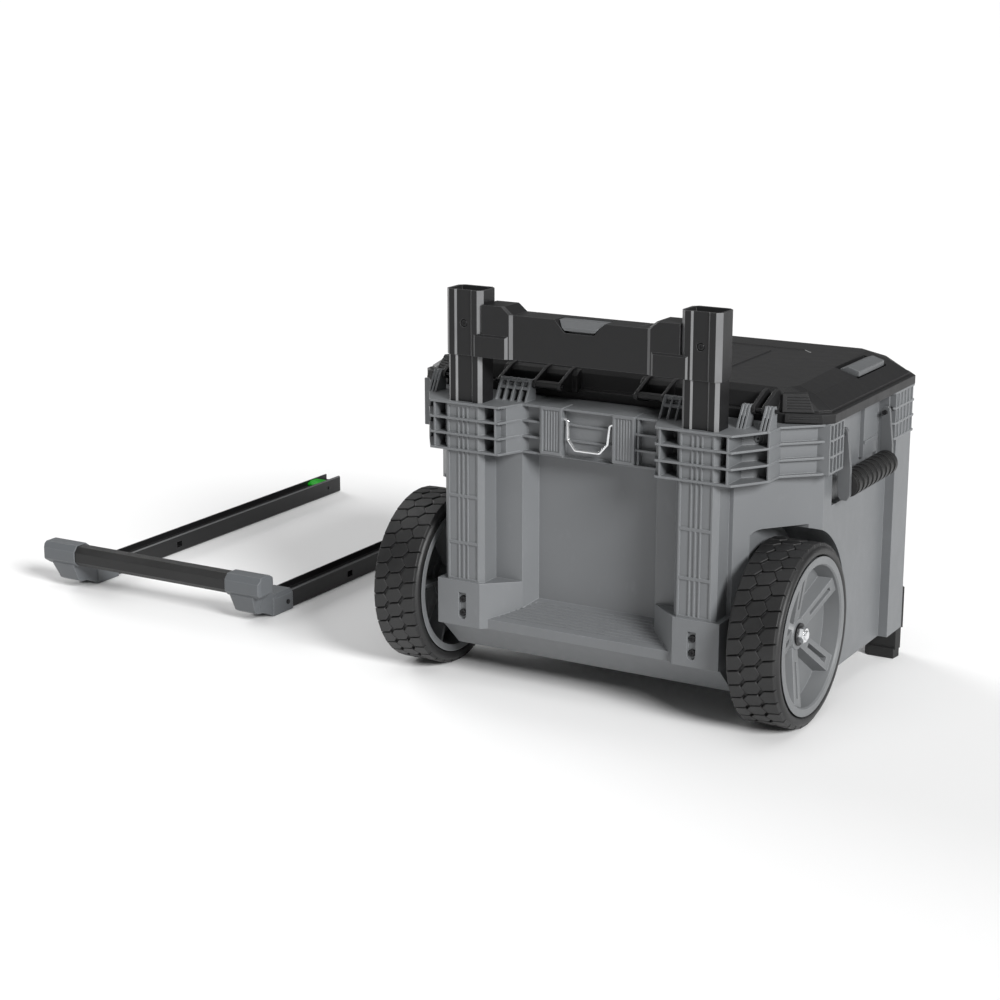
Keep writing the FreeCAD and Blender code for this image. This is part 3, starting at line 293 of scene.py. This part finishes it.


# ---- tubes, housings and bridge ----
# Two square tubes in satin black up the back, each with a moulded collar. The black bridge joins
# the collars and holds the release button; round-headed black screws hold the collars.
# Their chamfers and edges are painted pale grey, a painted highlight.
tube_black = moulded("tube_black", (0.0105, 0.0105, 0.011, 1), (0.250, 0.252, 0.256, 1), grain=2600,
                     relief=0.06, rough=0.40, radius=0.0007, gloss=0.3, scuffs=0.03, edge_highlight=0.6,
                     corners=("X", "Y"))
bridge_black = moulded("bridge_black", (0.0115, 0.0115, 0.012, 1), (0.210, 0.212, 0.216, 1), grain=1700,
                       relief=0.10, rough=0.42, radius=0.0009, gloss=0.3, scuffs=0.03, edge_highlight=0.6,
                       corners=("X", "Y"))
dress(tube_black, "left_tube", "right_tube")
dress(bridge_black, "left_housing", "right_housing", "bridge")

screw_black = turned_steel("screw_black", (0.035, 0.035, 0.036, 1), 0.38, (3, 3, 3))
dress(screw_black, "bridge_screws", "socket_screws", "handle_screws")

spring_wire = turned_steel("spring_wire", (0.45, 0.45, 0.46, 1), 0.25, (5, 5, 1))
dress(spring_wire, "release_spring", "left_detent_spring", "right_detent_spring")

lever_grey = moulded("lever_grey", (0.100, 0.104, 0.108, 1), (0.24, 0.25, 0.26, 1), grain=1700, relief=0.08,
                     rough=0.44)
dress(lever_grey, "release_button", "left_stack_latch", "right_stack_latch", "left_front_latch",
      "right_front_latch", "left_carry_frame", "right_carry_frame")


# ---- wheels ----
# Each wheel is a grey dished hub with five ridged spokes, pressed into a solid black tyre, and it
# runs on nylon bushes. The plated nut and washer on each end of the axle hold it on.
hub_grey = moulded("hub_grey", (0.135, 0.140, 0.144, 1), (0.30, 0.31, 0.32, 1), grain=1200, relief=0.08,
                   rough=0.44)
dress(hub_grey, "left_hub", "right_hub")

bush_nylon = moulded("bush_nylon", (0.62, 0.61, 0.57, 1), (0.75, 0.74, 0.70, 1), grain=2200, relief=0.05,
                     rough=0.38)
dress(bush_nylon, "left_bushes", "right_bushes")

bright_plate = turned_steel("bright_plate", (0.80, 0.81, 0.82, 1), 0.14, (2, 2, 2))
dress(bright_plate, "axle_nuts", "bail", "axle")
dress(screw_black, "axle_washers")

tyre_rubber = rubber("tyre_rubber", (0.0095, 0.0095, 0.0098, 1), (0.021, 0.021, 0.021, 1), 900, 0.35, 0.50)

PITCHES = 36                # tread blocks round the tyre in each row
TREAD_DEPTH = 0.0034
TREAD_GAP = 0.0014          # width of the grooves between blocks
TREAD_SKEW = 0.0032         # how far each block leans along the roll
TREAD_MARGIN = 0.00015      # keeps the blocks' corners inside the tyre's own radius
BLOCK_WIDTH = 0.0275        # across the points of the middle row's six-sided blocks
BLOCK_ROOT = 0.0012         # how far a block reaches below its grooves
BLOCK_TAPER = (0.96, 0.95, 1.0)         # a block's top against its root
BLOCK_ROUND = 0.0006
BLOCK_CORNER = 0.001        # a block's corners lie farther than this from its middle
RUN_OUT, RUN_DOWN = 0.0028, 0.0030      # how far an edge block's root runs over the shoulder
SHOULDER = 0.0052
SHOULDER_STEP = 0.0042      # from the tyre's side to the last full-height tread
CARCASS_DROP = 0.0008       # grooves' floor below the blocks' depth
TYRE_WALL = 0.0165          # from the tread in to the hub


def pick_faces(test):
    """Selects in edit mode the faces that pass a test on their middle and normal."""
    bpy.ops.mesh.select_all(action="DESELECT")
    bpy.ops.object.mode_set(mode="OBJECT")
    for face in bpy.context.object.data.polygons:
        face.select = test(face.center, face.normal)
    bpy.ops.object.mode_set(mode="EDIT")


def pick_points(test):
    bpy.ops.mesh.select_all(action="DESELECT")
    bpy.ops.object.mode_set(mode="OBJECT")
    for point in bpy.context.object.data.vertices:
        point.select = test(point.co)
    bpy.ops.object.mode_set(mode="EDIT")


def tread_block(middle, length, hub, top, outer, edge):
    """One six-sided tread block; outer is the side on which an edge block runs out to the shoulder."""
    bpy.ops.object.select_all(action="DESELECT")
    height = TREAD_DEPTH + BLOCK_ROOT
    bpy.ops.mesh.primitive_cylinder_add(vertices=6, radius=0.5, depth=height, rotation=(0, 0, math.pi / 2),
                                        location=(middle, hub[1], top - height / 2))
    block = bpy.context.object
    bpy.ops.object.transform_apply(location=False)
    block.scale = (BLOCK_WIDTH, length / math.cos(math.pi / 6), 1)
    bpy.ops.object.transform_apply(location=False)
    bpy.ops.object.mode_set(mode="EDIT")
    bpy.ops.mesh.select_mode(type="VERT")
    if outer:
        pick_points(lambda co: co.x * outer > BLOCK_CORNER)
        bpy.ops.transform.resize(value=(0, 1, 1), center_override=(edge, hub[1], top))
        pick_points(lambda co: co.x * outer > BLOCK_CORNER and co.z < 0)
        bpy.ops.transform.translate(value=(outer * RUN_OUT, 0, -RUN_DOWN))
    pick_points(lambda co: co.x > BLOCK_CORNER)
    bpy.ops.transform.translate(value=(0, TREAD_SKEW / 2, 0))
    pick_points(lambda co: co.x < -BLOCK_CORNER)
    bpy.ops.transform.translate(value=(0, -TREAD_SKEW / 2, 0))
    pick_points(lambda co: co.z > 0)
    bpy.ops.transform.resize(value=BLOCK_TAPER)
    bpy.ops.object.mode_set(mode="OBJECT")
    edges = block.modifiers.new("edges", "BEVEL")
    edges.width = BLOCK_ROUND
    edges.segments = 2
    bpy.ops.object.modifier_apply(modifier="edges")
    bpy.context.scene.cursor.location = hub
    bpy.ops.object.origin_set(type="ORIGIN_CURSOR")
    return block


def tyre(side):
    low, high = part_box(side + "_tyre")
    hub = ((low[0] + high[0]) / 2, (low[1] + high[1]) / 2, (low[2] + high[2]) / 2)
    radius, width = (high[2] - low[2]) / 2, high[0] - low[0]
    bare = radius - TREAD_DEPTH - CARCASS_DROP
    rim = radius - TYRE_WALL
    bpy.ops.object.select_all(action="DESELECT")
    bpy.ops.mesh.primitive_cylinder_add(vertices=120, radius=bare, depth=width, location=hub,
                                        rotation=(0, math.pi / 2, 0))
    carcass = bpy.context.object
    carcass.name = side + "_tyre_tread"
    bpy.ops.object.transform_apply(location=False)
    bpy.ops.object.mode_set(mode="EDIT")
    bpy.ops.mesh.select_mode(type="FACE")
    pick_faces(lambda middle, normal: abs(normal.x) > 0.9)
    bpy.ops.mesh.inset(thickness=bare - rim)
    pick_faces(lambda middle, normal: abs(normal.x) > 0.9 and middle.yz.length < 0.01)
    bpy.ops.mesh.delete(type="FACE")
    bpy.ops.mesh.select_mode(type="EDGE")
    bpy.ops.mesh.select_all(action="DESELECT")
    bpy.ops.mesh.select_non_manifold()
    bpy.ops.mesh.bridge_edge_loops()
    bpy.ops.object.mode_set(mode="OBJECT")
    shoulder = carcass.modifiers.new("shoulder", "BEVEL")
    shoulder.width = SHOULDER
    shoulder.segments = 4
    shoulder.limit_method = "ANGLE"
    shoulder.angle_limit = math.radians(50)
    bpy.ops.object.modifier_apply(modifier="shoulder")
    bpy.ops.object.shade_smooth_by_angle(angle=math.radians(35))
    bpy.ops.object.transform_apply(location=True)

    length = 2 * math.pi * radius / PITCHES - TREAD_GAP
    top = hub[2] + math.sqrt(radius ** 2 - ((length + TREAD_SKEW) / 2) ** 2) - TREAD_MARGIN
    row = 0.75 * BLOCK_WIDTH + TREAD_GAP
    edge = width / 2 - SHOULDER_STEP
    blocks = []
    for place in (-1, 0, 1):
        block = tread_block(hub[0] + place * row, length, hub, top, place, hub[0] + place * edge)
        block.rotation_euler = (2 * math.pi / PITCHES * (0.5 if place else 0.0), 0, 0)
        bpy.ops.object.transform_apply(location=False, rotation=True)
        blocks.append(block)
    bpy.ops.object.empty_add(location=hub, rotation=(2 * math.pi / PITCHES, 0, 0))
    turn = bpy.context.object
    for block in blocks:
        bpy.ops.object.select_all(action="DESELECT")
        bpy.context.view_layer.objects.active = block
        block.select_set(True)
        ring = block.modifiers.new("ring", "ARRAY")
        ring.use_relative_offset = False
        ring.use_object_offset = True
        ring.offset_object = turn
        ring.count = PITCHES
        bpy.ops.object.modifier_apply(modifier="ring")
    bpy.data.objects.remove(turn)
    bpy.ops.object.select_all(action="DESELECT")
    for block in blocks:
        block.select_set(True)
    carcass.select_set(True)
    bpy.context.view_layer.objects.active = carcass
    bpy.ops.object.join()
    carcass.data.materials.clear()
    carcass.data.materials.append(tyre_rubber)
    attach(carcass, side + "_wheel")
    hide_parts(side + "_tyre")


tyre("left")
tyre("right")


# ---- stacking latches ----
# Thick grey nylon paddles in the lid's pockets, each turning on a steel pin along its inboard edge.
# A paddle rises to a ridge, then runs out to its finger end in a face dished inside a raised border.
LATCH_PIN_R = 0.0015
LATCH_HEEL = 0.0030         # how far the paddle reaches inboard of its pin
LATCH_REACH = 0.0243        # and outboard of it
LATCH_UNDER = 0.0045        # underside below the pin
LATCH_OVER = 0.0052         # top above the pin
LATCH_CREST = 0.0090        # how far out the highest line of the paddle lies
LATCH_RISE = 0.0035
LATCH_TIP = 0.02            # past this is the finger end
LATCH_TIP_OVER, LATCH_TIP_UNDER = 0.0012, 0.0010    # taken off the finger end, above and below
LATCH_HEEL_OUT, LATCH_HEEL_DOWN = 0.0010, 0.0005    # the inboard top edge is set back by these
LATCH_BORDER = 0.0028
LATCH_DISH = 0.0007
LATCH_ROUND = 0.0012


def latch_paddle(side, sign):
    low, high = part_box(side + "_stack_latch")
    pin_low, pin_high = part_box("stack_pins")
    pin = Vector((sign * (pin_high[0] - LATCH_PIN_R), (low[1] + high[1]) / 2, (pin_low[2] + pin_high[2]) / 2))
    bpy.ops.object.select_all(action="DESELECT")
    bpy.ops.mesh.primitive_cube_add(size=1, location=pin)
    paddle = bpy.context.object
    paddle.name = side + "_stack_latch_paddle"
    paddle.scale = (LATCH_HEEL + LATCH_REACH, high[1] - low[1], LATCH_UNDER + LATCH_OVER)
    bpy.ops.object.transform_apply(location=False)
    bpy.ops.object.mode_set(mode="EDIT")
    bpy.ops.mesh.select_mode(type="VERT")
    bpy.ops.mesh.select_all(action="SELECT")
    outwards, upwards = (LATCH_REACH - LATCH_HEEL) / 2, (LATCH_OVER - LATCH_UNDER) / 2
    bpy.ops.transform.translate(value=(sign * outwards, 0, upwards))
    bpy.ops.mesh.bisect(plane_co=pin + Vector((sign * LATCH_CREST, 0, 0)), plane_no=(1, 0, 0))
    pick_points(lambda co: abs(co.x * sign - LATCH_CREST) < 0.0005 and co.z > 0)
    bpy.ops.transform.translate(value=(0, 0, LATCH_RISE))
    pick_points(lambda co: co.x * sign > LATCH_TIP and co.z > 0)
    bpy.ops.transform.translate(value=(0, 0, -LATCH_TIP_OVER))
    pick_points(lambda co: co.x * sign > LATCH_TIP and co.z < 0)
    bpy.ops.transform.translate(value=(0, 0, LATCH_TIP_UNDER))
    pick_points(lambda co: co.x * sign < 0 and co.z > 0)
    bpy.ops.transform.translate(value=(sign * LATCH_HEEL_OUT, 0, -LATCH_HEEL_DOWN))
    bpy.ops.mesh.select_mode(type="FACE")
    pick_faces(lambda middle, normal: normal.z > 0.8 and middle.x * sign > LATCH_CREST)
    bpy.ops.mesh.inset(thickness=LATCH_BORDER)
    bpy.ops.transform.translate(value=(0, 0, -LATCH_DISH))
    bpy.ops.object.mode_set(mode="OBJECT")
    edges = paddle.modifiers.new("edges", "BEVEL")
    edges.width = LATCH_ROUND
    edges.segments = 3
    edges.limit_method = "ANGLE"
    edges.angle_limit = math.radians(20)
    bpy.ops.object.modifier_apply(modifier="edges")
    bpy.ops.object.shade_smooth_by_angle(angle=math.radians(40))
    bpy.ops.object.transform_apply(location=True)
    paddle.data.materials.append(lever_grey)
    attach(paddle, side + "_stack_latch")
    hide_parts(side + "_stack_latch")


latch_paddle("left", 1)
latch_paddle("right", -1)


# ---- side handles and front feet ----
# Grey moulded arms carry a soft black grip with finger rings. The front corners stand on hard
# rubber feet with a guard up the post.
grip_black = rubber("grip_black", (0.0085, 0.0085, 0.0085, 1), (0.019, 0.019, 0.019, 1), 1500, 0.3, 0.52)
dress(grip_black, "left_carry_grip", "right_carry_grip", "grip_sleeve")
foot_black = rubber("foot_black", (0.0075, 0.0075, 0.0075, 1), (0.017, 0.017, 0.017, 1), 1200, 0.3, 0.6)
dress(foot_black, "left_front_foot", "right_front_foot")


# ---- pull handle ----
# Two black coated rails with a groove, joined by the padded grip and two moulded grey corners.
# A bright green sprung button near each end snaps into the housings.
# The rails' chamfers and edges are painted pale grey, a painted highlight.
rail_black = moulded("rail_black", (0.0105, 0.0105, 0.011, 1), (0.150, 0.152, 0.155, 1), grain=2400,
                     relief=0.06, rough=0.40, radius=0.0007, gloss=0.3, scuffs=0.03, edge_highlight=0.7,
                     corners=("X", "Z"))
dress(rail_black, "left_rail", "right_rail")
corner_grey = moulded("corner_grey", (0.100, 0.107, 0.114, 1), (0.22, 0.23, 0.24, 1), grain=1500, relief=0.08,
                      rough=0.42, radius=0.0018)
dress(corner_grey, "left_corner_bracket", "right_corner_bracket")
button_green = moulded("button_green", (0.001, 0.30, 0.004, 1), (0.010, 0.50, 0.020, 1), grain=2000,
                       relief=0.05, rough=0.40, gloss=0.3)
dress(button_green, "left_detent_button", "right_detent_button")
